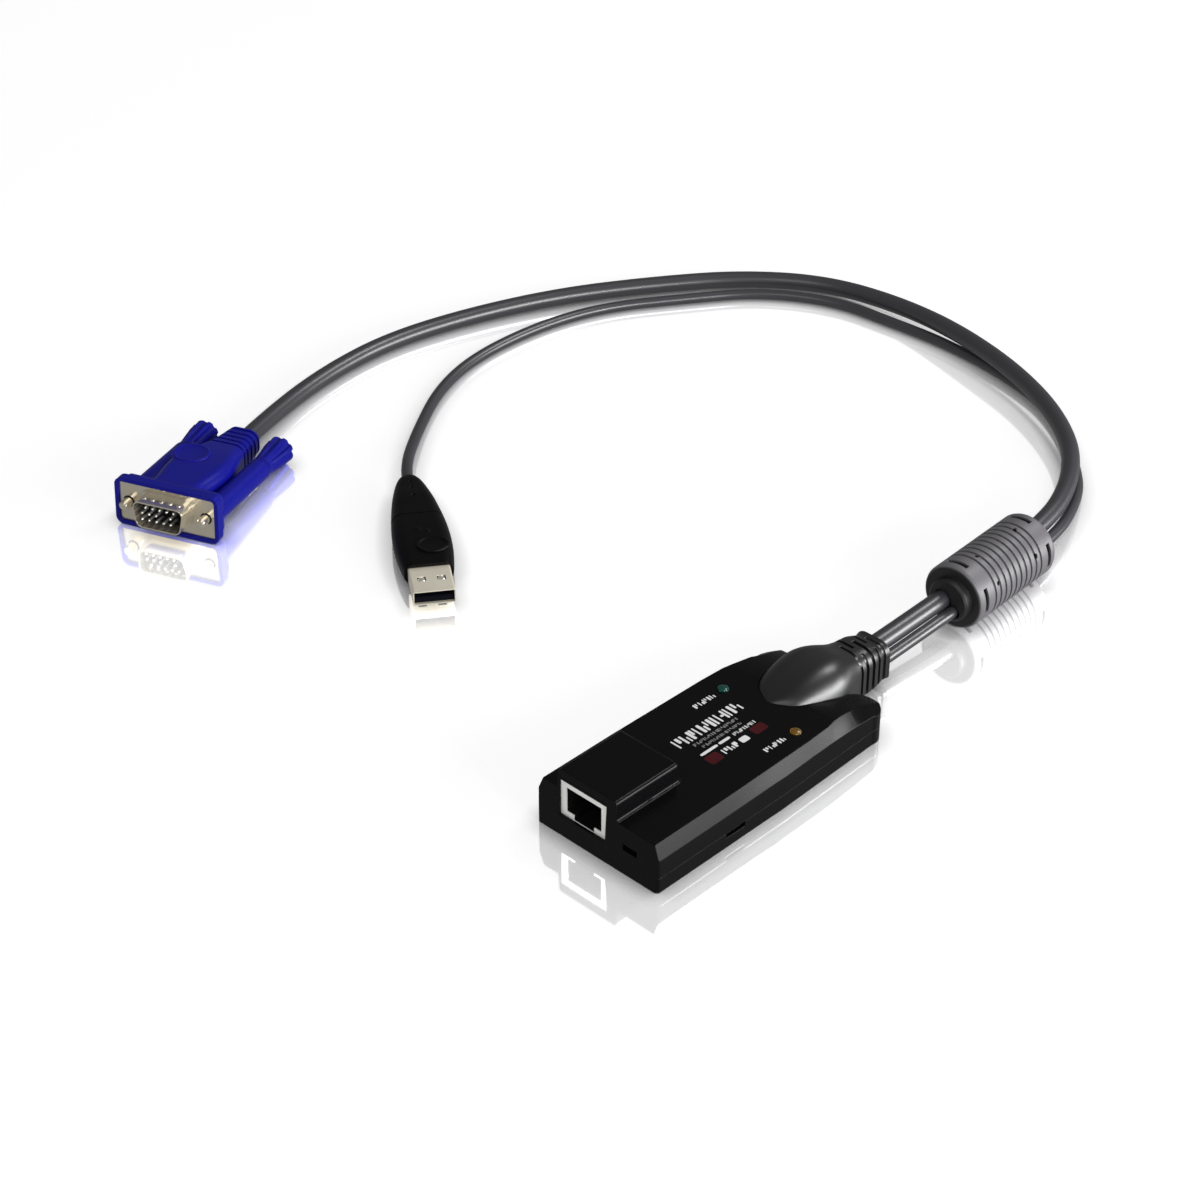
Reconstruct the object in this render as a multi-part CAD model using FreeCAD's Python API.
# Keyboard-video-mouse dongle: a small adapter case with a network jack at one end and a
# moulded strain relief at the other, from which a thick video cable and a thin USB cable
# run through one ferrite bead, then side by side in a loop, and end in their own plugs.
# Millimetres. +Z is up, the jack looks along -Y, the cables leave along +Y, and the origin
# is on the floor, under the middle of the case and its strain relief.
import FreeCAD, Part
import math
import os

V = FreeCAD.Vector

# Case: plan, heights and walls
CASE_WIDTH = 41.5
CASE_LENGTH = 88.6
BOOT_TAIL = 17.4            # strain relief behind the case
SIDE_STRAIGHT = 47.0        # from the front, before the sides draw in
TAIL_DRAW_IN = 1.0          # how far each side has drawn in at the rear corner
REAR_CORNER = CASE_LENGTH - 6.1   # from the front, where the rear corner starts to turn
LOBE_HALF_GAP = 10.6        # from the centre plane to each rear lobe
REAR_NOTCH = CASE_LENGTH - 4.6    # from the front to the rear wall between the lobes
FRONT_CORNER_RADIUS = 1.2
FRONT_LEAN = 1.1            # how far the front leans back at the block's top
PARTING_Z = 4.5             # where the two shells meet
MAIN_TOP_Z = 14.1
BLOCK_TOP_Z = 19.8
WALL = 1.8
FLOOR_WALL = 1.5
TOP_WALL = 1.6

# Bevel along each side, flatter towards the rear: from the front, lower edge's height,
# and how far in from the side it would meet the level of the top
BEVEL = [(-6.0, 9.95, 1.6), (25.0, 9.95, 1.6), (CASE_LENGTH - 43.6, 10.15, 1.9),
         (CASE_LENGTH - 30.6, 10.25, 2.1), (CASE_LENGTH - 22.6, 10.2, 2.5),
         (CASE_LENGTH - 12.6, 9.9, 4.4), (CASE_LENGTH - 5.6, 9.2, 8.4),
         (CASE_LENGTH + 1.4, 7.4, 15.0)]
# The top curves down over the rear lobes: from the front, height
CROWN = [(CASE_LENGTH - 19.1, MAIN_TOP_Z), (CASE_LENGTH - 8.1, MAIN_TOP_Z - 2.0),
         (CASE_LENGTH, MAIN_TOP_Z - 5.1)]

# Raised block over the jack
BLOCK_LEFT = -14.1
BLOCK_RIGHT = 6.5
BLOCK_LENGTH = 23.8
BLOCK_DRAFT = 0.5
BLOCK_EDGE_RADIUS = 1.0
BLOCK_FOOT_RADIUS = 0.8     # where its sides run into the top

# Network jack
JACK_WIDTH = 16.0
JACK_HEIGHT = 13.4
JACK_DEPTH = 20.5
JACK_X = -5.27              # centre
JACK_FRONT = 1.15           # behind the case front
JACK_WINDOW_BOTTOM = 6.0
JACK_WINDOW_HEIGHT = 10.7
JACK_SKIN = 0.3
SOCKET_WIDTH = 11.9
SOCKET_HEIGHT = 7.4
SOCKET_FLOOR = 7.6
SOCKET_DEPTH = 14.5
LATCH_WIDTH = 6.9
CONTACT_COUNT = 8
CONTACT_PITCH = 1.02
CONTACT_RADIUS = 0.2

# Board and what stands on it
BOARD_WIDTH = 34.0
BOARD_LENGTH = CASE_LENGTH - 14.6
BOARD_START = 2.2
BOARD_BOTTOM = 2.9
BOARD_THICKNESS = 1.6
POST_RADIUS = 1.8
# name: (x, from the front, width, length, height)
CHIPS = {
    "video_chip": (2.0, 46.0, 14.0, 14.0, 1.4),
    "keyboard_chip": (11.5, 32.0, 9.0, 9.0, 1.2),
    "network_transformer": (-7.0, 31.0, 12.7, 9.5,
                            MAIN_TOP_Z - TOP_WALL - BOARD_BOTTOM - BOARD_THICKNESS - 1.8),
    "video_header": (-6.0, CASE_LENGTH - 21.6, 12.5, 4.6, 4.4),
    "usb_header": (7.0, CASE_LENGTH - 21.6, 7.5, 4.6, 4.4),
}
CRYSTAL = (11.8, 20.0, 4.6, 11.2, 3.6)
CAPACITORS = [(-11.5, 43.0), (-11.5, 50.5), (13.0, 45.0)]
CAPACITOR_RADIUS = 2.5
CAPACITOR_HEIGHT = 5.4

# Indicators: name, x, from the front
PIPES = [("green_light_pipe", -12.0, CASE_LENGTH - 29.0),
         ("amber_light_pipe", 13.6, CASE_LENGTH - 29.8)]
PIPE_RADIUS = 1.5
PIPE_PROUD = 0.35
LED_SIZE = (2.0, 1.3, 0.9)

# Latch windows: side ones on the parting line, and one at the front
SIDE_LATCH_Y = 28.5
SIDE_LATCH = (7.0, 1.2, 1.5)
FRONT_LATCH_X = 11.1
FRONT_LATCH_Z = 8.0
FRONT_LATCH = (4.8, 1.0, 1.8)

# Strain relief: (from the front, half width, top height, top corner radius)
BOOT = [(CASE_LENGTH - 26.2, 1.6, 13.3, 1.0), (CASE_LENGTH - 23.1, 5.9, 15.1, 4.2),
        (CASE_LENGTH - 18.6, 8.9, 17.0, 6.0), (CASE_LENGTH - 12.6, 10.2, 18.6, 7.4),
        (CASE_LENGTH - 6.6, 10.4, 19.0, 7.6), (CASE_LENGTH - 1.6, 9.1, 18.0, 6.9),
        (CASE_LENGTH + 2.9, 7.5, 16.2, 5.6), (CASE_LENGTH + 7.4, 6.7, 15.0, 4.6),
        (CASE_LENGTH + 12.4, 6.25, 14.1, 3.9), (CASE_LENGTH + BOOT_TAIL, 5.9, 13.2, 3.4)]
BOOT_BOTTOM = 1.7
BOOT_BOTTOM_RADIUS = 1.6
BOOT_CLEARANCE = 0.15
BOOT_FREE_BELOW = 10.2      # the dome over the board is hollow under this height
BOOT_BLOCK_START = CASE_LENGTH - 9.6    # the full-height part, behind the board
BOOT_KEY = (24.6, 2.0, 4.9) # cross key behind the rear wall
GROOVE_COUNT = 5
GROOVE_START = CASE_LENGTH + 4.0
GROOVE_PITCH = 2.7
GROOVE_WIDTH = 1.2
GROOVE_DEPTH = 1.0
GROOVE_BRIDGE = 2.6

# Cables
VIDEO_RADIUS = 2.75
USB_RADIUS = 1.7
TAIL_END = (CASE_LENGTH + BOOT_TAIL) / 2
CABLE_INSET = 2.0           # how deep each cable ends inside the strain relief
VIDEO_EXIT = (-1.78, 7.66)
USB_EXIT = (2.22, 5.16)

# Ferrite bead on the floor, round both cables
BEAD_RADIUS = 9.6
BEAD_LENGTH = 35.6
BEAD_START = V(0.62, 86.0, 0)
BEAD_YAW = 2.7
BEAD_BOSS_RADIUS = 6.4
BEAD_BOSS_LENGTH = 2.5
BEAD_COLLAR = 7.0
BEAD_GROOVES = 10
BEAD_GROOVE_WIDTH = 0.8
BEAD_GROOVE_DEPTH = 0.45
CORE_RADIUS = 8.2
CORE_BORE = 5.6
CORE_END_WALL = 1.6
SLOT_STATION = 3.0
SLOT_WIDTH = 1.5
SLOT_SPAN = 44.0
PIN_HOLE_STATION = 9.0
PIN_HOLE_RADIUS = 0.75
CABLE_CLEARANCE = 0.2

# Routes of the two cables, chosen by hand; the third and second points of each are in
# line with the bead's holes, and the last run is in line with the plug
VIDEO_ROUTE = [(VIDEO_EXIT[0], TAIL_END - CABLE_INSET, VIDEO_EXIT[1]),
               (-0.7, 79.0, 9.6), (-3.2, 132.0, 9.6),
               (-12.5, 157.5, 8.6), (-29.0, 179.0, 7.3), (-56.0, 196.0, 6.9),
               (-89.0, 205.5, 7.0), (-120.0, 210.5, 4.4), (-148.5, 207.0, 2.77),
               (-171.0, 190.0, 2.77), (-189.0, 166.0, 2.77), (-205.0, 140.0, 2.77),
               (-216.5, 110.5, 2.77), (-223.0, 82.0, 2.77), (-222.0, 56.0, 2.77)]
USB_ROUTE = [(USB_EXIT[0], TAIL_END - CABLE_INSET, USB_EXIT[1]),
             (3.3, 79.0, 7.1), (0.8, 132.0, 7.1),
             (-9.5, 156.5, 3.0), (-19.5, 171.5, 1.72), (-46.5, 195.0, 1.72),
             (-72.0, 202.5, 1.72), (-97.0, 205.0, 1.72), (-117.5, 203.5, 1.72),
             (-140.0, 201.5, 1.72), (-161.5, 188.5, 1.72), (-175.5, 169.0, 1.72),
             (-190.5, 146.5, 1.72), (-197.0, 123.0, 1.72), (-197.5, 95.0, 1.72),
             (-191.0, 73.0, 1.75), (-176.5, 50.0, 1.75)]
VIDEO_LAST_RUN = 22.0
USB_LAST_RUN = 8.0

# Video plug, in its own frame: x across, y back from the plate, z up from the rim's foot
VGA_PLACE = V(-189.9, -34.7, 0)
VGA_YAW = 22.3
VGA_AXIS_Z = 7.5
RIM_WIDTH = 33.4
RIM_HEIGHT = 15.0
RIM_FRONT = -0.7
RIM_STEP = 2.2
RIM_BACK = 4.8
PLATE_WIDTH = 30.8
PLATE_HEIGHT = 12.5
PLATE_THICKNESS = 0.6
PLATE_RECESS = 2.2
D_WIDTH = 16.9
D_HEIGHT = 8.3
D_DEPTH = 5.8
D_SLANT = 10.0
D_RADIUS = 2.2
D_SKIN = 0.4
PIN_RADIUS = 0.4
PIN_PITCH = 2.29
PIN_ROW = 1.98
PIN_LENGTH = 4.9
# hood: (back from the plate, half width, half height)
HOOD = [(3.0, 9.3, 6.6), (14.0, 9.3, 6.6), (24.0, 9.0, 6.3), (30.0, 7.6, 5.7),
        (34.0, 6.7, 5.2), (47.0, 5.2, 4.2)]
HOOD_CORNER = 3.2
NECK_GROOVES = 5
NECK_GROOVE_START = 34.4
NECK_GROOVE_PITCH = 2.7
NECK_GROOVE_WIDTH = 1.1
NECK_GROOVE_DEPTH = 0.7
SCREW_SPACING = 25.0
SLEEVE_RADIUS = 3.4
SLEEVE_END = 33.0
SHANK_RADIUS = 1.6
SHANK_CLEARANCE = 0.2
THREAD_RADIUS = 1.42
THREAD_REACH = 3.7          # in front of the plate
THREAD_STOP = 0.1           # where the thread ends, in front of the plate
UNDERCUT_RADIUS = 1.2       # between the thread and the shank
KNOB_LENGTH = 13.5
KNOB_SMALL = 3.1
KNOB_LARGE = 4.4
KNOB_FLUTES = 8
FLUTE_RADIUS = 1.15
FLUTE_DEPTHS = (0.3, 0.9)   # at the knob's small end and at its large end
KNOB_GAP = 0.45
KNOB_CAP = 3.0              # solid end of the knob, behind the rod

# USB plug, in its own frame: x across, y back from the shell's mouth, z up from the floor
USB_PLACE = V(-106.57, -7.69, 0)
USB_YAW = 54.2
USB_AXIS_Z = 4.3
USB_SHELL = (12.0, 16.0, 4.5)
USB_SKIN = 0.35
USB_TONGUE = (11.2, 14.5, 1.85)
USB_HOLE = (2.4, 2.2)
USB_HOLE_X = 2.8
USB_HOLE_Y = 5.2
USB_CONTACTS = [(-3.5, 6.4), (-1.0, 7.4), (1.0, 7.4), (3.5, 6.4)]
USB_CONTACT_WIDTH = 1.0
# overmould: (back from the mouth, half width, half height)
OVERMOULD = [(12.0, 7.0, 3.3), (18.0, 7.9, 3.8), (27.0, 8.35, 4.2), (37.0, 7.8, 4.2),
             (44.0, 6.9, 4.05), (50.0, 5.9, 3.8), (56.0, 4.5, 3.3), (59.3, 3.3, 2.9),
             (60.8, 2.4, 2.3)]
GRIP_GROOVE = (36.8, 0.6, 0.3)   # round the overmould: station, width, depth
GRIP_DIMPLES = [(47.2, 0.9), (52.0, 0.8), (55.6, 0.7)]   # on top: station, radius
DIMPLE_DEPTH = 0.35

FRONT = -TAIL_END


def from_front(distance):
    """Row Y of a place this far behind the case front."""
    return FRONT + distance


def box(width, length, height, x, y, z):
    """A box centred on x, starting at y and z."""
    return Part.makeBox(width, length, height, V(x - width / 2, y, z))


def outline(points, closed=True):
    """A wire through points; a triple ("arc", middle, end) bends to its end."""
    edges = []
    here = points[0]
    for step in points[1:]:
        if step[0] == "arc":
            edges.append(Part.Arc(here, step[1], step[2]).toShape())
            here = step[2]
        else:
            edges.append(Part.LineSegment(here, step[1]).toShape())
            here = step[1]
    if closed and (here - points[0]).Length > 1e-6:
        edges.append(Part.LineSegment(here, points[0]).toShape())
    return Part.Wire(edges)


def corner_point(centre, radius, degrees):
    """A point on a circle in the plane of the section."""
    angle = math.radians(degrees)
    return (centre[0] + radius * math.cos(angle), centre[1] + radius * math.sin(angle))


def section(y, half_width, low, high, low_radius, high_radius, middle_x=0.0):
    """A rounded rectangle across Y, with its own lower and upper corner radii."""
    left, right = middle_x - half_width, middle_x + half_width
    corners = [((right - low_radius, low + low_radius), low_radius, -90),
               ((right - high_radius, high - high_radius), high_radius, 0),
               ((left + high_radius, high - high_radius), high_radius, 90),
               ((left + low_radius, low + low_radius), low_radius, 180)]
    steps = []
    for centre, radius, start in corners:
        ends = [corner_point(centre, radius, start + turn) for turn in (0, 45, 90)]
        a, b, c = [V(px, y, pz) for px, pz in ends]
        if steps:
            steps.append(("line", a))
        else:
            steps.append(a)
        steps.append(("arc", b, c))
    return outline(steps)


def loft(sections, ruled=False):
    """A solid through a row of sections."""
    return Part.makeLoft(sections, True, ruled)


def half_plan():
    """Right half of the case plan, front to rear, as steps for outline()."""
    side = CASE_WIDTH / 2
    rear_side = side - TAIL_DRAW_IN
    front = from_front(0)
    turn = from_front(REAR_CORNER)
    tip = from_front(CASE_LENGTH)
    notch = from_front(REAR_NOTCH)
    inner = LOBE_HALF_GAP
    radius = FRONT_CORNER_RADIUS
    slant = radius * (1 - math.sqrt(0.5))
    tip_x = (rear_side + inner) / 2
    return [V(side - radius, front, 0),
            ("arc", V(side - slant, front + slant, 0), V(side, front + radius, 0)),
            ("line", V(side, from_front(SIDE_STRAIGHT), 0)),
            ("line", V(rear_side, turn, 0)),
            ("arc", V(rear_side - 1.05, (turn + tip) / 2 + 1.3, 0), V(tip_x, tip, 0)),
            ("arc", V(inner + 1.0, (notch + tip) / 2 + 1.0, 0), V(inner, notch, 0))]


def plan(low, high):
    """The case plan as an upright solid between two heights."""
    right = half_plan()
    stops = [right[0]] + [step[-1] for step in right[1:]]
    steps = list(right)
    steps.append(("line", V(-stops[-1].x, stops[-1].y, 0)))
    for index in range(len(right) - 1, 0, -1):
        goal = stops[index - 1]
        mirrored = V(-goal.x, goal.y, 0)
        if right[index][0] == "arc":
            middle = right[index][1]
            steps.append(("arc", V(-middle.x, middle.y, 0), mirrored))
        else:
            steps.append(("line", mirrored))
    face = Part.Face(outline(steps))
    solid = face.extrude(V(0, 0, high - low))
    solid.translate(V(0, 0, low))
    return solid


def cavity(low, high, front_half, rear_half):
    """Space inside the walls, straight in front and drawn in behind."""
    points = [V(-front_half, from_front(WALL), low), V(front_half, from_front(WALL), low),
              V(front_half, from_front(SIDE_STRAIGHT), low),
              V(rear_half, from_front(REAR_NOTCH - WALL), low),
              V(-rear_half, from_front(REAR_NOTCH - WALL), low),
              V(-front_half, from_front(SIDE_STRAIGHT), low)]
    wire = outline([points[0]] + [("line", point) for point in points[1:]])
    return Part.Face(wire).extrude(V(0, 0, high - low))


def boot_body(clearance=0.0):
    """The strain relief's outer form: a dome that narrows into a rounded bar."""
    wires = []
    for distance, half_width, top, radius in BOOT:
        wires.append(section(from_front(distance), half_width + clearance,
                             BOOT_BOTTOM - clearance, top + clearance,
                             min(BOOT_BOTTOM_RADIUS, half_width * 0.7), radius))
    body = loft(wires)
    hollow = box(60, BOOT_BLOCK_START - clearance, BOOT_FREE_BELOW - clearance + 5, 0,
                 from_front(0), -5)
    return body.cut(hollow)


def boot_half_width(distance):
    """Half width of the strain relief at a distance from the front."""
    for (a, wide_a, _, _), (b, wide_b, _, _) in zip(BOOT, BOOT[1:]):
        if a <= distance <= b:
            return wide_a + (wide_b - wide_a) * (distance - a) / (b - a)
    return BOOT[-1][1]


def boot_top(distance):
    """Top height of the strain relief at a distance from the front."""
    for (a, _, top_a, _), (b, _, top_b, _) in zip(BOOT, BOOT[1:]):
        if a <= distance <= b:
            return top_a + (top_b - top_a) * (distance - a) / (b - a)
    return BOOT[-1][2]


def boot_groove(index):
    """One flex groove round the tail, with a bridge left of or right of the middle."""
    distance = GROOVE_START + index * GROOVE_PITCH
    half = boot_half_width(distance)
    top = boot_top(distance)
    y = from_front(distance)
    outer = box(40, GROOVE_WIDTH, 40, 0, y, -5)
    core = section(y, half - GROOVE_DEPTH, BOOT_BOTTOM + GROOVE_DEPTH, top - GROOVE_DEPTH,
                   BOOT_BOTTOM_RADIUS, 2.6)
    ring = outer.cut(Part.Face(core).extrude(V(0, GROOVE_WIDTH, 0)))
    side = 1 if index % 2 else -1
    return ring.cut(box(GROOVE_BRIDGE, GROOVE_WIDTH, 40, side * GROOVE_BRIDGE, y, -5))


def strain_relief():
    """Moulded in one piece; a cross key holds it behind the rear wall."""
    body = boot_body()
    for index in range(GROOVE_COUNT):
        body = body.cut(boot_groove(index))
    width, length, height = BOOT_KEY
    key = box(width, length, height, 0, from_front(REAR_NOTCH - WALL) - length - 0.1, 4.8)
    body = body.fuse(key)
    for route, radius in ((VIDEO_ROUTE, VIDEO_RADIUS), (USB_ROUTE, USB_RADIUS)):
        start, end = V(*route[0]), V(*route[1])
        back = (start - end).normalize() * 0.05
        body = body.cut(Part.makeCylinder(radius + 0.02, 6.0, start + back, end - start))
    return body.removeSplitter()


def bevel_section(side, lower, upper):
    """Section of the bevel's cutter through a lower and an upper edge point."""
    lower, upper = V(side * lower.x, lower.y, lower.z), V(side * upper.x, upper.y, upper.z)
    slope = upper - lower
    out = V(-slope.x, -slope.y, 0).normalize() * 30
    start, end = lower - slope * 0.3, lower + slope * 1.5
    return outline([start, ("line", end), ("line", end + out), ("line", start + out)])


def bevel_cutter(side):
    """What the bevel takes off one side: it grows wider and flatter towards the rear."""
    half = CASE_WIDTH / 2
    wires = []
    for distance, low, inward in BEVEL:
        y = from_front(distance)
        edge = half - max(0.0, distance - SIDE_STRAIGHT) * TAIL_DRAW_IN \
            / (REAR_CORNER - SIDE_STRAIGHT)
        wires.append(bevel_section(side, V(edge, y, low), V(half - inward, y, MAIN_TOP_Z)))
    return loft(wires, True)


def crown_cutter(drop=0.0):
    """Everything over the curve by which the top comes down over the rear lobes."""
    start, middle, end = [V(0, from_front(distance), z - drop) for distance, z in CROWN]
    past = V(0, end.y + 12, end.z - 4)
    wire = outline([start, ("arc", middle, end), ("line", past), ("line", V(0, past.y, 40)),
                    ("line", V(0, start.y, 40))])
    solid = Part.Face(wire).extrude(V(60, 0, 0))
    solid.translate(V(-30, 0, 0))
    return solid


def front_cutter():
    """A wedge that leans the front back."""
    points = [V(0, from_front(-5), 0), V(0, from_front(0), 0),
              V(0, from_front(FRONT_LEAN * 30 / BLOCK_TOP_Z), 30), V(0, from_front(-5), 30)]
    wire = outline([points[0]] + [("line", point) for point in points[1:]])
    solid = Part.Face(wire).extrude(V(60, 0, 0))
    solid.translate(V(-30, 0, 0))
    return solid


def raised_block():
    """Block over the jack, with drafted sides and rounded upper edges."""
    low, high = MAIN_TOP_Z - 3.0, BLOCK_TOP_Z
    front, rear = from_front(0), from_front(BLOCK_LENGTH)
    wires = []
    for z, inset in ((low, 0.0), (high, BLOCK_DRAFT)):
        points = [V(BLOCK_LEFT, front, z), V(BLOCK_RIGHT - inset, front, z),
                  V(BLOCK_RIGHT - inset, rear - inset, z), V(BLOCK_LEFT, rear - inset, z)]
        wires.append(outline([points[0]] + [("line", point) for point in points[1:]]))
    block = loft(wires, True)
    upper = [edge for edge in block.Edges
             if abs(edge.CenterOfMass.z - high) < 0.01 and edge.CenterOfMass.y > front + 1]
    upright = [edge for edge in block.Edges
               if edge.BoundBox.ZLength > 1 and edge.CenterOfMass.y > rear - 2
               and edge.CenterOfMass.x > 0]
    return block.makeFillet(BLOCK_EDGE_RADIUS, upper + upright)


def jack_pocket():
    """Room for the jack behind the front, and the window it looks through."""
    gap = 0.15
    room = box(JACK_WIDTH + 2 * gap, JACK_DEPTH + 1.2, JACK_HEIGHT + 2 * gap, JACK_X,
               from_front(JACK_FRONT) - 0.1, BOARD_BOTTOM + BOARD_THICKNESS - 0.1)
    window = box(JACK_WIDTH - 0.1, 6, JACK_WINDOW_HEIGHT, JACK_X,
                 from_front(JACK_FRONT) - 5.5, JACK_WINDOW_BOTTOM)
    return room.fuse(window)


def side_latches():
    """Latch windows in both sides, just under the parting line."""
    length, depth, height = SIDE_LATCH
    cuts = []
    for side in (-1, 1):
        cuts.append(Part.makeBox(2 * depth, length, height,
                                 V(side * CASE_WIDTH / 2 - depth, from_front(SIDE_LATCH_Y)
                                   - length / 2, PARTING_Z - height)))
    return cuts[0].fuse(cuts[1])


def top_shell():
    """Upper case half with the jack block and the opening for the strain relief."""
    shell = plan(PARTING_Z, MAIN_TOP_Z)
    shell = shell.cut(bevel_cutter(1)).cut(bevel_cutter(-1)).cut(crown_cutter())
    shell = shell.fuse(raised_block()).cut(front_cutter()).removeSplitter()
    foot = [edge for edge in shell.Edges
            if edge.BoundBox.ZLength < 0.01 and abs(edge.CenterOfMass.z - MAIN_TOP_Z) < 0.01
            and BLOCK_LEFT + 1 < edge.CenterOfMass.x < BLOCK_RIGHT + 0.5
            and edge.CenterOfMass.y < from_front(BLOCK_LENGTH) + 0.5
            and edge.CenterOfMass.y > from_front(2)]
    shell = shell.makeFillet(BLOCK_FOOT_RADIUS, foot)
    room = cavity(PARTING_Z - 1, MAIN_TOP_Z - TOP_WALL, 18.2, 14.9)
    shell = shell.cut(room.cut(crown_cutter(TOP_WALL)))
    shell = shell.cut(jack_pocket())
    shell = shell.cut(boot_body(BOOT_CLEARANCE))
    width, depth, height = FRONT_LATCH
    shell = shell.cut(box(width, depth * 2, height, FRONT_LATCH_X, from_front(-0.5),
                          FRONT_LATCH_Z - height / 2))
    for _, x, distance in PIPES:
        hole = Part.makeCylinder(PIPE_RADIUS + 0.1, 30, V(x, from_front(distance), 5))
        shell = shell.cut(hole)
    return shell


def bottom_shell():
    """Lower case half: a tray with posts for the board and a rear gate for the boot."""
    tray = plan(0, PARTING_Z).cut(front_cutter())
    tray = tray.cut(cavity(FLOOR_WALL, PARTING_Z + 1, 18.9, 17.6))
    tray = tray.cut(boot_body(BOOT_CLEARANCE)).cut(side_latches())
    for x in (-1, 1):
        for distance in (BOARD_START + 4, BOARD_START + BOARD_LENGTH - 4):
            post = Part.makeCylinder(POST_RADIUS, BOARD_BOTTOM - FLOOR_WALL,
                                     V(x * (BOARD_WIDTH / 2 - 4), from_front(distance),
                                       FLOOR_WALL))
            tray = tray.fuse(post)
    return tray.removeSplitter()


BOARD_TOP = BOARD_BOTTOM + BOARD_THICKNESS


def main_board():
    """Printed circuit board, on the four posts of the bottom shell."""
    return box(BOARD_WIDTH, BOARD_LENGTH, BOARD_THICKNESS, 0, from_front(BOARD_START),
               BOARD_BOTTOM)


def chip(x, distance, width, length, height):
    """A package standing on the board, centred on its place."""
    return box(width, length, height, x, from_front(distance) - length / 2, BOARD_TOP)


def capacitors():
    """Three can capacitors, as separate solids."""
    cans = [Part.makeCylinder(CAPACITOR_RADIUS, CAPACITOR_HEIGHT,
                              V(x, from_front(distance), BOARD_TOP))
            for x, distance in CAPACITORS]
    return Part.makeCompound(cans)


def leads(name, exit_place, radius):
    """Wires of one cable inside the case, from the strain relief down to its header."""
    x, distance, _, length, height = CHIPS[name]
    low = V(x, from_front(distance) + length / 2, BOARD_TOP + height / 2)
    high = V(exit_place[0], from_front(BOOT_BLOCK_START), exit_place[1])
    middle = V((low.x + high.x) / 2, (low.y + high.y) / 2, low.z)
    first = Part.makeCylinder(radius, (middle - low).Length, low, middle - low)
    second = Part.makeCylinder(radius, (high - middle).Length, middle, high - middle)
    joint = Part.makeSphere(radius, middle)
    return first.fuse(second).fuse(joint).common(
        box(60, high.y - low.y, 30, 0, low.y, 0))


def socket_space(extra=0.0):
    """Room that a network plug takes: a box and its latch slot."""
    front = from_front(JACK_FRONT) - 1
    room = box(SOCKET_WIDTH + extra, SOCKET_DEPTH + 1, SOCKET_HEIGHT + extra, JACK_X, front,
               SOCKET_FLOOR - extra / 2)
    slot = box(LATCH_WIDTH + extra, SOCKET_DEPTH - 3, 3, JACK_X, front,
               JACK_WINDOW_BOTTOM - extra / 2)
    return room.fuse(slot)


def jack_shield():
    """Folded metal can of the jack, with a window bent round its mouth."""
    front = from_front(JACK_FRONT)
    outer = box(JACK_WIDTH, JACK_DEPTH, JACK_HEIGHT, JACK_X, front, BOARD_TOP)
    inner = box(JACK_WIDTH - 2 * JACK_SKIN, JACK_DEPTH - 2 * JACK_SKIN,
                JACK_HEIGHT - JACK_SKIN, JACK_X, front + JACK_SKIN, BOARD_TOP)
    return outer.cut(inner).cut(socket_space(0.1))


def jack_insert():
    """Moulded body of the jack inside its can."""
    gap = JACK_SKIN + 0.05
    body = box(JACK_WIDTH - 2 * gap, JACK_DEPTH - 2 * gap, JACK_HEIGHT - gap, JACK_X,
               from_front(JACK_FRONT) + gap, BOARD_TOP)
    return body.cut(socket_space())


def jack_contacts():
    """Eight spring wires that slant down from the roof of the socket."""
    roof = SOCKET_FLOOR + SOCKET_HEIGHT
    wires = []
    for index in range(CONTACT_COUNT):
        x = JACK_X + (index - (CONTACT_COUNT - 1) / 2) * CONTACT_PITCH
        start = V(x, from_front(JACK_FRONT + 3.0), roof - CONTACT_RADIUS - 0.05)
        end = V(x, from_front(JACK_FRONT + SOCKET_DEPTH - 0.1), roof - 2.6)
        wires.append(Part.makeCylinder(CONTACT_RADIUS, (end - start).Length, start,
                                       end - start))
    return Part.makeCompound(wires)


def light_pipe(x, distance):
    """Clear pin that carries a lamp's light to the top of the case."""
    low = BOARD_TOP + LED_SIZE[2] + 0.2
    high = MAIN_TOP_Z + PIPE_PROUD
    pin = Part.makeCylinder(PIPE_RADIUS, high - low, V(x, from_front(distance), low))
    rim = [edge for edge in pin.Edges if abs(edge.BoundBox.ZMin - high) < 0.01
           and edge.BoundBox.ZLength < 0.01]
    collar = Part.makeCylinder(PIPE_RADIUS + 0.6, 1.0, V(x, from_front(distance),
                                                         MAIN_TOP_Z - TOP_WALL - 1.05))
    return pin.makeFillet(PIPE_PROUD * 0.9, rim).fuse(collar).removeSplitter()


def indicator_lamps():
    """A small lamp on the board under each light pipe."""
    width, length, height = LED_SIZE
    lamps = [box(width, length, height, x, from_front(distance) - length / 2, BOARD_TOP)
             for _, x, distance in PIPES]
    return Part.makeCompound(lamps)


# Bead frame: Y along the bead, from its near end, with the axis at its own radius
def place_bead(shape):
    """Set a piece made along +Y on the floor, at the bead's place and heading."""
    lay = FreeCAD.Placement(BEAD_START + V(0, 0, BEAD_RADIUS),
                            FreeCAD.Rotation(V(0, 0, 1), BEAD_YAW))
    shape.Placement = lay.multiply(shape.Placement)
    return shape


def turned(profile):
    """A solid turned about Y from (radius, along) points."""
    points = [V(radius, along, 0) for radius, along in profile]
    wire = outline([points[0]] + [("line", point) for point in points[1:]])
    return Part.Face(wire).revolve(V(0, 0, 0), V(0, 1, 0), 360)


def cable_line(start, end, radius):
    """A straight bore along a run of a route."""
    a, b = V(*start), V(*end)
    return Part.makeCylinder(radius, (b - a).Length, a, b - a)


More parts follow.
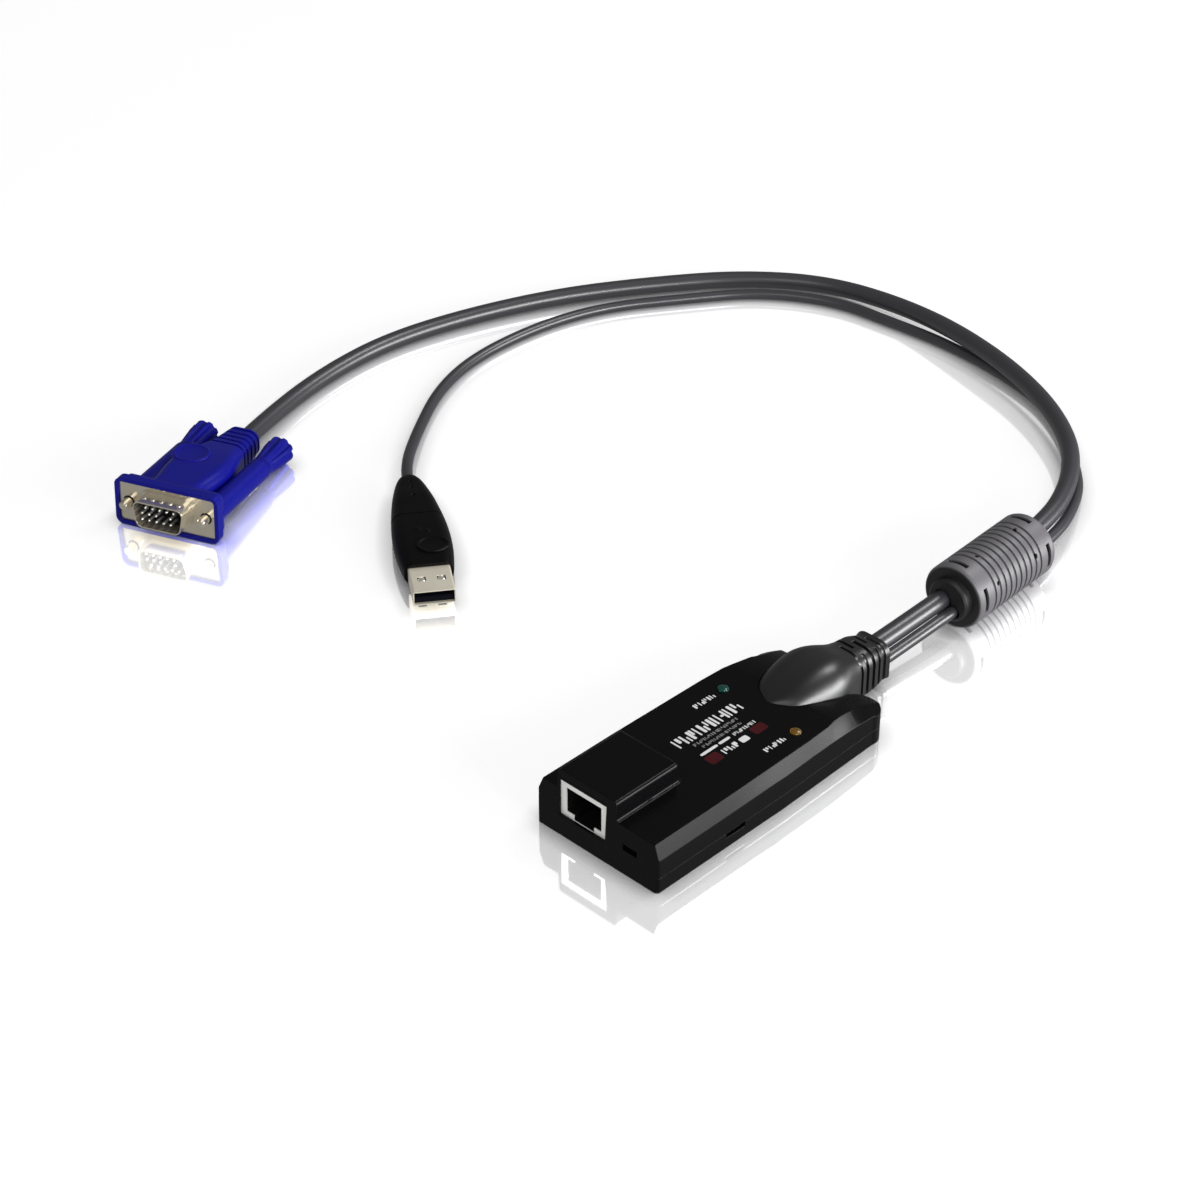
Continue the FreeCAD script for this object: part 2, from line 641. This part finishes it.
def cable_bores(clearance):
    """Both cables' straight runs through the bead."""
    video = cable_line(VIDEO_ROUTE[1], VIDEO_ROUTE[2], VIDEO_RADIUS + clearance)
    usb = cable_line(USB_ROUTE[1], USB_ROUTE[2], USB_RADIUS + clearance)
    return video.fuse(usb)


def ferrite_core():
    """Plain sleeve of ferrite under the moulding."""
    length = BEAD_LENGTH - 2 * CORE_END_WALL
    return place_bead(turned([(CORE_BORE, CORE_END_WALL), (CORE_RADIUS, CORE_END_WALL),
                              (CORE_RADIUS, CORE_END_WALL + length),
                              (CORE_BORE, CORE_END_WALL + length)]))


def core_window(station, start_angle):
    """An elongated slot in a collar, through to the core."""
    band = turned([(CORE_RADIUS - 0.4, station - SLOT_WIDTH / 2), (30, station - SLOT_WIDTH / 2),
                   (30, station + SLOT_WIDTH / 2), (CORE_RADIUS - 0.4, station + SLOT_WIDTH / 2)])
    wedge = outline([V(0, station - 2, 0)]
                    + [("line", V(60 * math.cos(math.radians(start_angle + turn)), station - 2,
                                  60 * math.sin(math.radians(start_angle + turn))))
                       for turn in (0, SLOT_SPAN / 2, SLOT_SPAN)])
    return band.common(Part.Face(wedge).extrude(V(0, 4, 0)))


def ferrite_cover():
    """Moulding round the core: two smooth collars, ribs between them and a boss each end."""
    end = BEAD_LENGTH
    edge = 0.9
    body = turned([(0, -BEAD_BOSS_LENGTH), (BEAD_BOSS_RADIUS - 0.6, -BEAD_BOSS_LENGTH),
                   (BEAD_BOSS_RADIUS, 0.6 - BEAD_BOSS_LENGTH), (BEAD_BOSS_RADIUS, 0),
                   (BEAD_RADIUS - edge, 0), (BEAD_RADIUS - edge * 0.3, edge * 0.3),
                   (BEAD_RADIUS, edge), (BEAD_RADIUS, end - edge),
                   (BEAD_RADIUS - edge * 0.3, end - edge * 0.3), (BEAD_RADIUS - edge, end),
                   (BEAD_BOSS_RADIUS, end), (BEAD_BOSS_RADIUS, end + BEAD_BOSS_LENGTH - 0.6),
                   (BEAD_BOSS_RADIUS - 0.6, end + BEAD_BOSS_LENGTH),
                   (0, end + BEAD_BOSS_LENGTH)])
    pitch = (BEAD_LENGTH - 2 * BEAD_COLLAR) / (BEAD_GROOVES - 1)
    for index in range(BEAD_GROOVES):
        middle = BEAD_COLLAR + index * pitch
        half = BEAD_GROOVE_WIDTH / 2
        body = body.cut(turned([(BEAD_RADIUS - BEAD_GROOVE_DEPTH, middle - half),
                                (30, middle - half), (30, middle + half),
                                (BEAD_RADIUS - BEAD_GROOVE_DEPTH, middle + half)]))
    gap = 0.05
    body = body.cut(turned([(CORE_BORE - gap, CORE_END_WALL - gap),
                            (CORE_RADIUS + gap, CORE_END_WALL - gap),
                            (CORE_RADIUS + gap, end - CORE_END_WALL + gap),
                            (CORE_BORE - gap, end - CORE_END_WALL + gap)]))
    for station in (SLOT_STATION, end - SLOT_STATION):
        for quarter in range(4):
            body = body.cut(core_window(station, quarter * 90 - SLOT_SPAN / 2 + 9))
    for station in (PIN_HOLE_STATION, end - PIN_HOLE_STATION):
        for angle in (25, 85, 205, 265):
            out = V(math.cos(math.radians(angle)), 0, math.sin(math.radians(angle)))
            body = body.cut(Part.makeCylinder(PIN_HOLE_RADIUS, 30,
                                              out * (CORE_RADIUS - 0.4) + V(0, station, 0), out))
    return place_bead(body).cut(cable_bores(CABLE_CLEARANCE))


# Video plug
def place_vga(shape):
    """Set a piece of the video plug in its place: it lies on its rim and its neck."""
    neck_end, _, neck_half = HOOD[-1]
    drop = math.degrees(math.atan((VGA_AXIS_Z - neck_half) / (neck_end - RIM_STEP)))
    pitch = FreeCAD.Placement(V(0, 0, 0), FreeCAD.Rotation(V(1, 0, 0), -drop),
                              V(0, RIM_STEP, 0))
    yaw = FreeCAD.Placement(VGA_PLACE, FreeCAD.Rotation(V(0, 0, 1), VGA_YAW))
    shape.Placement = yaw.multiply(pitch).multiply(shape.Placement)
    return shape


def slab(width, height, radius, y, length, draw_in=0.0):
    """A rounded slab of the plug's rim, narrower at its back by draw_in."""
    front = section(y, width / 2, VGA_AXIS_Z - height / 2, VGA_AXIS_Z + height / 2,
                    radius, radius)
    back = section(y + length, width / 2 - draw_in, VGA_AXIS_Z - height / 2 + draw_in,
                   VGA_AXIS_Z + height / 2 - draw_in, radius, radius)
    return loft([front, back], True)


def d_face(y, width, height, radius):
    """D-shaped face across the plug: wide on top, sides slanting in below."""
    half, tall = width / 2, height / 2
    slope = height * math.tan(math.radians(D_SLANT))
    corners = [(-half, tall), (half, tall), (half - slope, -tall), (-half + slope, -tall)]
    points = [V(x, y, VGA_AXIS_Z + z) for x, z in corners]
    face = Part.Face(outline([points[0]] + [("line", point) for point in points[1:]]))
    solid = face.extrude(V(0, 1, 0))
    along = [edge for edge in solid.Edges if edge.BoundBox.YLength > 0.5]
    rounded = solid.makeFillet(radius, along)
    faces = [side for side in rounded.Faces if abs(side.CenterOfMass.y - y) < 1e-4]
    return faces[0]


def d_prism(width, height, radius, y, length):
    """A D-shaped bar along the plug's axis."""
    return d_face(y, width, height, radius).extrude(V(0, length, 0))


def screw_sides():
    """The two thumbscrew axes, across the plug."""
    return (-SCREW_SPACING / 2, SCREW_SPACING / 2)


def along_y(radius, start, end, x, z):
    """A round bar along the plug's axis."""
    return Part.makeCylinder(radius, end - start, V(x, start, z), V(0, 1, 0))


def vga_hood():
    """One moulding: stepped rim, body, ribbed neck and a sleeve for each thumbscrew."""
    front = slab(RIM_WIDTH, RIM_HEIGHT, 2.4, RIM_FRONT, RIM_STEP - RIM_FRONT)
    back = slab(RIM_WIDTH - 1.2, RIM_HEIGHT - 1.2, 2.0, RIM_STEP, RIM_BACK - RIM_STEP, 0.5)
    wires = [section(y, half, VGA_AXIS_Z - tall, VGA_AXIS_Z + tall,
                     min(HOOD_CORNER, tall * 0.8), min(HOOD_CORNER, tall * 0.8))
             for y, half, tall in HOOD]
    body = loft(wires).fuse(front).fuse(back)
    for index in range(NECK_GROOVES):
        y = NECK_GROOVE_START + index * NECK_GROOVE_PITCH
        (a, wide_a, tall_a), (b, wide_b, tall_b) = HOOD[-2:]
        part = (y - a) / (b - a)
        half = wide_a + (wide_b - wide_a) * part - NECK_GROOVE_DEPTH
        tall = tall_a + (tall_b - tall_a) * part - NECK_GROOVE_DEPTH
        core = Part.Face(section(y, half, VGA_AXIS_Z - tall, VGA_AXIS_Z + tall, 2.6, 2.6))
        ring = box(30, NECK_GROOVE_WIDTH, 30, 0, y, -5).cut(
            core.extrude(V(0, NECK_GROOVE_WIDTH, 0)))
        body = body.cut(ring)
    for x in screw_sides():
        body = body.fuse(along_y(SLEEVE_RADIUS, RIM_STEP, SLEEVE_END, x, VGA_AXIS_Z))
    for x in screw_sides():
        body = body.cut(along_y(SHANK_RADIUS + SHANK_CLEARANCE, RIM_FRONT - 1, SLEEVE_END + 1,
                                x, VGA_AXIS_Z))
        body = body.cut(along_y(KNOB_LARGE + 0.4, SLEEVE_END, SLEEVE_END + 40, x, VGA_AXIS_Z))
    recess = slab(PLATE_WIDTH + 0.2, PLATE_HEIGHT + 0.2, 1.1, RIM_FRONT - 1,
                  1 - RIM_FRONT + PLATE_THICKNESS)
    pocket = d_prism(D_WIDTH, D_HEIGHT, D_RADIUS, 0, PLATE_THICKNESS + 6.0)
    return body.cut(recess).cut(pocket).removeSplitter()


def vga_shell():
    """Pressed metal plate with its D-shaped skirt."""
    plate = slab(PLATE_WIDTH, PLATE_HEIGHT, 1.0, 0, PLATE_THICKNESS)
    skirt = d_prism(D_WIDTH, D_HEIGHT, D_RADIUS, -D_DEPTH, D_DEPTH + PLATE_THICKNESS)
    flange = d_prism(D_WIDTH + 1.6, D_HEIGHT + 1.6, D_RADIUS + 0.6, -0.8, 0.8)
    inside = d_prism(D_WIDTH - 2 * D_SKIN, D_HEIGHT - 2 * D_SKIN, D_RADIUS - D_SKIN,
                     -D_DEPTH - 1, D_DEPTH + PLATE_THICKNESS + 2)
    shell = plate.fuse(flange).fuse(skirt).cut(inside)
    for x in screw_sides():
        shell = shell.cut(along_y(SHANK_RADIUS + SHANK_CLEARANCE, -3, 3, x, VGA_AXIS_Z))
    return shell.removeSplitter()


def vga_insulator():
    """Moulded block at the bottom of the skirt, which holds the pins."""
    gap = 0.05
    block = d_prism(D_WIDTH - 2 * D_SKIN - 2 * gap, D_HEIGHT - 2 * D_SKIN - 2 * gap,
                    D_RADIUS - D_SKIN - gap, -1.0, PLATE_THICKNESS + 6.0)
    for x, z in vga_pin_places():
        block = block.cut(along_y(PIN_RADIUS, -3, 10, x, z))
    return block


def vga_pin_places():
    """Centres of the fourteen pins: five, four and five, the middle row offset."""
    places = [((column - 2) * PIN_PITCH, VGA_AXIS_Z + PIN_ROW) for column in range(5)]
    places += [((column - 2.5) * PIN_PITCH, VGA_AXIS_Z) for column in (0, 1, 2, 4)]
    places += [((column - 2) * PIN_PITCH - PIN_PITCH / 2, VGA_AXIS_Z - PIN_ROW)
               for column in range(5)]
    return places


def vga_pins():
    """Round pins with tapered tips."""
    pins = []
    for x, z in vga_pin_places():
        radius = PIN_RADIUS - 0.02
        pin = turned([(0, -PIN_LENGTH), (radius * 0.5, -PIN_LENGTH),
                      (radius, radius * 0.7 - PIN_LENGTH), (radius, 4.0), (0, 4.0)])
        pin.translate(V(x, 0, z))
        pins.append(pin)
    return Part.makeCompound(pins)


def screw_rod(x):
    """Steel of one thumbscrew: a thread, and a shank that ends inside its knob."""
    start = SLEEVE_END + KNOB_GAP
    rod = turned([(0, -THREAD_REACH), (THREAD_RADIUS - 0.4, -THREAD_REACH),
                  (THREAD_RADIUS, 0.4 - THREAD_REACH), (THREAD_RADIUS, -THREAD_STOP),
                  (UNDERCUT_RADIUS, -THREAD_STOP), (UNDERCUT_RADIUS, 1.5),
                  (SHANK_RADIUS, 1.9), (SHANK_RADIUS, start + KNOB_LENGTH - KNOB_CAP),
                  (0, start + KNOB_LENGTH - KNOB_CAP)])
    rod.translate(V(x, 0, VGA_AXIS_Z))
    return rod


def screw_knob(x):
    """Fluted knob that flares, moulded on the rod's end."""
    start = SLEEVE_END + KNOB_GAP
    end = start + KNOB_LENGTH
    knob = turned([(SHANK_RADIUS + 0.01, start), (KNOB_SMALL, start),
                   (KNOB_SMALL, start + 1.6), (KNOB_LARGE - 0.2, end - 4.0),
                   (KNOB_LARGE, end - 0.8), (KNOB_LARGE - 0.5, end), (0, end),
                   (0, end - KNOB_CAP + 0.01), (SHANK_RADIUS + 0.01, end - KNOB_CAP + 0.01)])
    for index in range(KNOB_FLUTES):
        angle = math.radians(index * 360 / KNOB_FLUTES)
        out = V(math.cos(angle), 0, math.sin(angle))
        low = out * (KNOB_SMALL + FLUTE_RADIUS - FLUTE_DEPTHS[0])
        high = out * (KNOB_LARGE + FLUTE_RADIUS - FLUTE_DEPTHS[1])
        low.y, high.y = start + 1.8, end + 1
        knob = knob.cut(Part.makeCylinder(FLUTE_RADIUS, (high - low).Length, low, high - low))
    knob.translate(V(x, 0, VGA_AXIS_Z))
    return knob


# USB plug
def place_usb(shape):
    """Set a piece of the USB plug in its place."""
    lay = FreeCAD.Placement(USB_PLACE, FreeCAD.Rotation(V(0, 0, 1), USB_YAW))
    shape.Placement = lay.multiply(shape.Placement)
    return shape


def usb_shell():
    """Folded metal sleeve with two latch holes on top and two below."""
    width, length, height = USB_SHELL
    low = USB_AXIS_Z - height / 2
    outer = box(width, length, height, 0, 0, low)
    along = [edge for edge in outer.Edges if edge.BoundBox.YLength > 1]
    outer = outer.makeFillet(0.6, along)
    inner = box(width - 2 * USB_SKIN, length + 2, height - 2 * USB_SKIN, 0, -1, low + USB_SKIN)
    shell = outer.cut(inner)
    for side in (-1, 1):
        shell = shell.cut(box(USB_HOLE[0], USB_HOLE[1], height + 2, side * USB_HOLE_X,
                              USB_HOLE_Y, low - 1))
    return shell


def usb_tongue():
    """Moulded tongue in the lower half of the sleeve, with a block behind."""
    width, length, height = USB_TONGUE
    inside = USB_SHELL[2] - 2 * USB_SKIN
    low = USB_AXIS_Z - inside / 2 + 0.03
    tongue = box(width, length, height, 0, USB_SHELL[1] - length - 0.6, low)
    block = box(width, 4.0, inside - 0.06, 0, USB_SHELL[1] - 4.6, low)
    return tongue.fuse(block).removeSplitter()


def usb_contacts():
    """Four flat contacts on the tongue."""
    height = USB_TONGUE[2]
    top = USB_AXIS_Z - USB_SHELL[2] / 2 + USB_SKIN + 0.03 + height
    end = USB_SHELL[1] - 4.6
    plates = [box(USB_CONTACT_WIDTH, reach, 0.15, x, end - reach, top)
              for x, reach in USB_CONTACTS]
    return Part.makeCompound(plates)


def overmould_size(station):
    """Half width and half height of the overmould at a station."""
    for (a, wide_a, tall_a), (b, wide_b, tall_b) in zip(OVERMOULD, OVERMOULD[1:]):
        if a <= station <= b:
            part = (station - a) / (b - a)
            return wide_a + (wide_b - wide_a) * part, tall_a + (tall_b - tall_a) * part
    return OVERMOULD[-1][1:]


def usb_overmould():
    """Egg-shaped grip, flat enough to lie still, tapering to the cable."""
    wires = [section(y, half, USB_AXIS_Z - tall, USB_AXIS_Z + tall,
                     min(half, tall) * 0.86, min(half, tall) * 0.86)
             for y, half, tall in OVERMOULD]
    width, length, height = USB_SHELL
    room = box(width + 0.1, length - OVERMOULD[0][0] + 0.1, height + 0.1, 0,
               OVERMOULD[0][0] - 0.01, USB_AXIS_Z - height / 2 - 0.05)
    body = loft(wires).cut(room)
    station, width, depth = GRIP_GROOVE
    half, tall = overmould_size(station)
    core = Part.Face(section(station, half - depth, USB_AXIS_Z - tall + depth,
                             USB_AXIS_Z + tall - depth, min(half, tall) * 0.86,
                             min(half, tall) * 0.86)).extrude(V(0, width, 0))
    body = body.cut(box(40, width, 30, 0, station, -10).cut(core))
    for station, radius in GRIP_DIMPLES:
        top = USB_AXIS_Z + overmould_size(station)[1]
        body = body.cut(Part.makeSphere(radius, V(0, station, top + radius - DIMPLE_DEPTH)))
    return body


# Cables
def last_run(place, neck_end, axis_z, run):
    """The last two points of a route: in line with its plug's neck, and at its end."""
    ends = []
    for reach in (run, 0.0):
        marker = place(Part.Vertex(V(0, neck_end + reach, axis_z)))
        ends.append(tuple(marker.Point))
    return ends


def cable_tube(name, points, radius):
    """A round tube along straight runs joined by tangent arcs as large as they allow."""
    nodes = [V(*point) for point in points]
    edges = []
    length = 0.0
    here = nodes[0]
    radii = []
    for before, corner, after in zip(nodes, nodes[1:], nodes[2:]):
        back, ahead = before - corner, after - corner
        reach = 0.45 * min(back.Length, ahead.Length)
        back.normalize()
        ahead.normalize()
        turn = math.pi - back.getAngle(ahead)
        arc_radius = reach / math.tan(turn / 2)
        radii.append(round(arc_radius, 1))
        start, end = corner + back * reach, corner + ahead * reach
        inward = (back + ahead).normalize()
        middle = corner + inward * (arc_radius / math.cos(turn / 2) - arc_radius)
        edges.append(Part.LineSegment(here, start).toShape())
        edges.append(Part.Arc(start, middle, end).toShape())
        length += (start - here).Length + arc_radius * turn
        here = end
    edges.append(Part.LineSegment(here, nodes[-1]).toShape())
    length += (nodes[-1] - here).Length
    circle = Part.Wire(Part.Circle(nodes[0], nodes[1] - nodes[0], radius).toShape())
    tube = Part.Wire(edges).makePipeShell([circle], True, True)
    ideal = math.pi * radius ** 2 * length
    print(name, "length", round(length, 1), "radii", radii,
          "volume ratio", round(tube.Volume / ideal, 5))
    return tube


def save(name, shape):
    """Write one piece, and say if it isn't sound."""
    shape.exportStep("parts/" + name + ".step")
    solids = len(shape.Solids)
    print(name, "solids", solids, "volume", round(shape.Volume, 1), "valid", shape.isValid())


def board_pieces():
    """Name and shape of everything on the board."""
    pieces = {name: chip(*place) for name, place in CHIPS.items()}
    pieces["crystal"] = chip(*CRYSTAL)
    pieces["capacitors"] = capacitors()
    pieces["video_leads"] = leads("video_header", VIDEO_EXIT, VIDEO_RADIUS * 0.8)
    pieces["usb_leads"] = leads("usb_header", USB_EXIT, USB_RADIUS * 0.8)
    pieces["indicator_lamps"] = indicator_lamps()
    for name, x, distance in PIPES:
        pieces[name] = light_pipe(x, distance)
    return pieces


def case_pieces():
    """Name and shape of the case, its strain relief, board and jack."""
    return {"top_shell": top_shell(), "bottom_shell": bottom_shell(),
            "strain_relief": strain_relief(), "main_board": main_board(),
            "jack_shield": jack_shield(), "jack_insert": jack_insert(),
            "jack_contacts": jack_contacts()}


def plug_pieces():
    """Name and shape of both plugs, in their places."""
    left, right = screw_sides()
    vga = {"vga_hood": vga_hood(), "vga_shell": vga_shell(),
           "vga_insulator": vga_insulator(), "vga_pins": vga_pins(),
           "left_screw_rod": screw_rod(left), "left_screw_knob": screw_knob(left),
           "right_screw_rod": screw_rod(right), "right_screw_knob": screw_knob(right)}
    usb = {"usb_overmould": usb_overmould(), "usb_shell": usb_shell(),
           "usb_tongue": usb_tongue(), "usb_contacts": usb_contacts()}
    pieces = {name: place_vga(shape) for name, shape in vga.items()}
    pieces.update({name: place_usb(shape) for name, shape in usb.items()})
    return pieces


def cables():
    """Both cables from the strain relief to their plugs, and the bead they run through."""
    video_end = last_run(place_vga, HOOD[-1][0], VGA_AXIS_Z, VIDEO_LAST_RUN)
    usb_end = last_run(place_usb, OVERMOULD[-1][0], USB_AXIS_Z, USB_LAST_RUN)
    return {"video_cable": cable_tube("video_cable", VIDEO_ROUTE + video_end, VIDEO_RADIUS),
            "usb_cable": cable_tube("usb_cable", USB_ROUTE + usb_end, USB_RADIUS),
            "ferrite_cover": ferrite_cover(), "ferrite_core": ferrite_core()}


os.makedirs("parts", exist_ok=True)
for group in (case_pieces, board_pieces, plug_pieces, cables):
    for node, piece in group().items():
        save(node, piece)
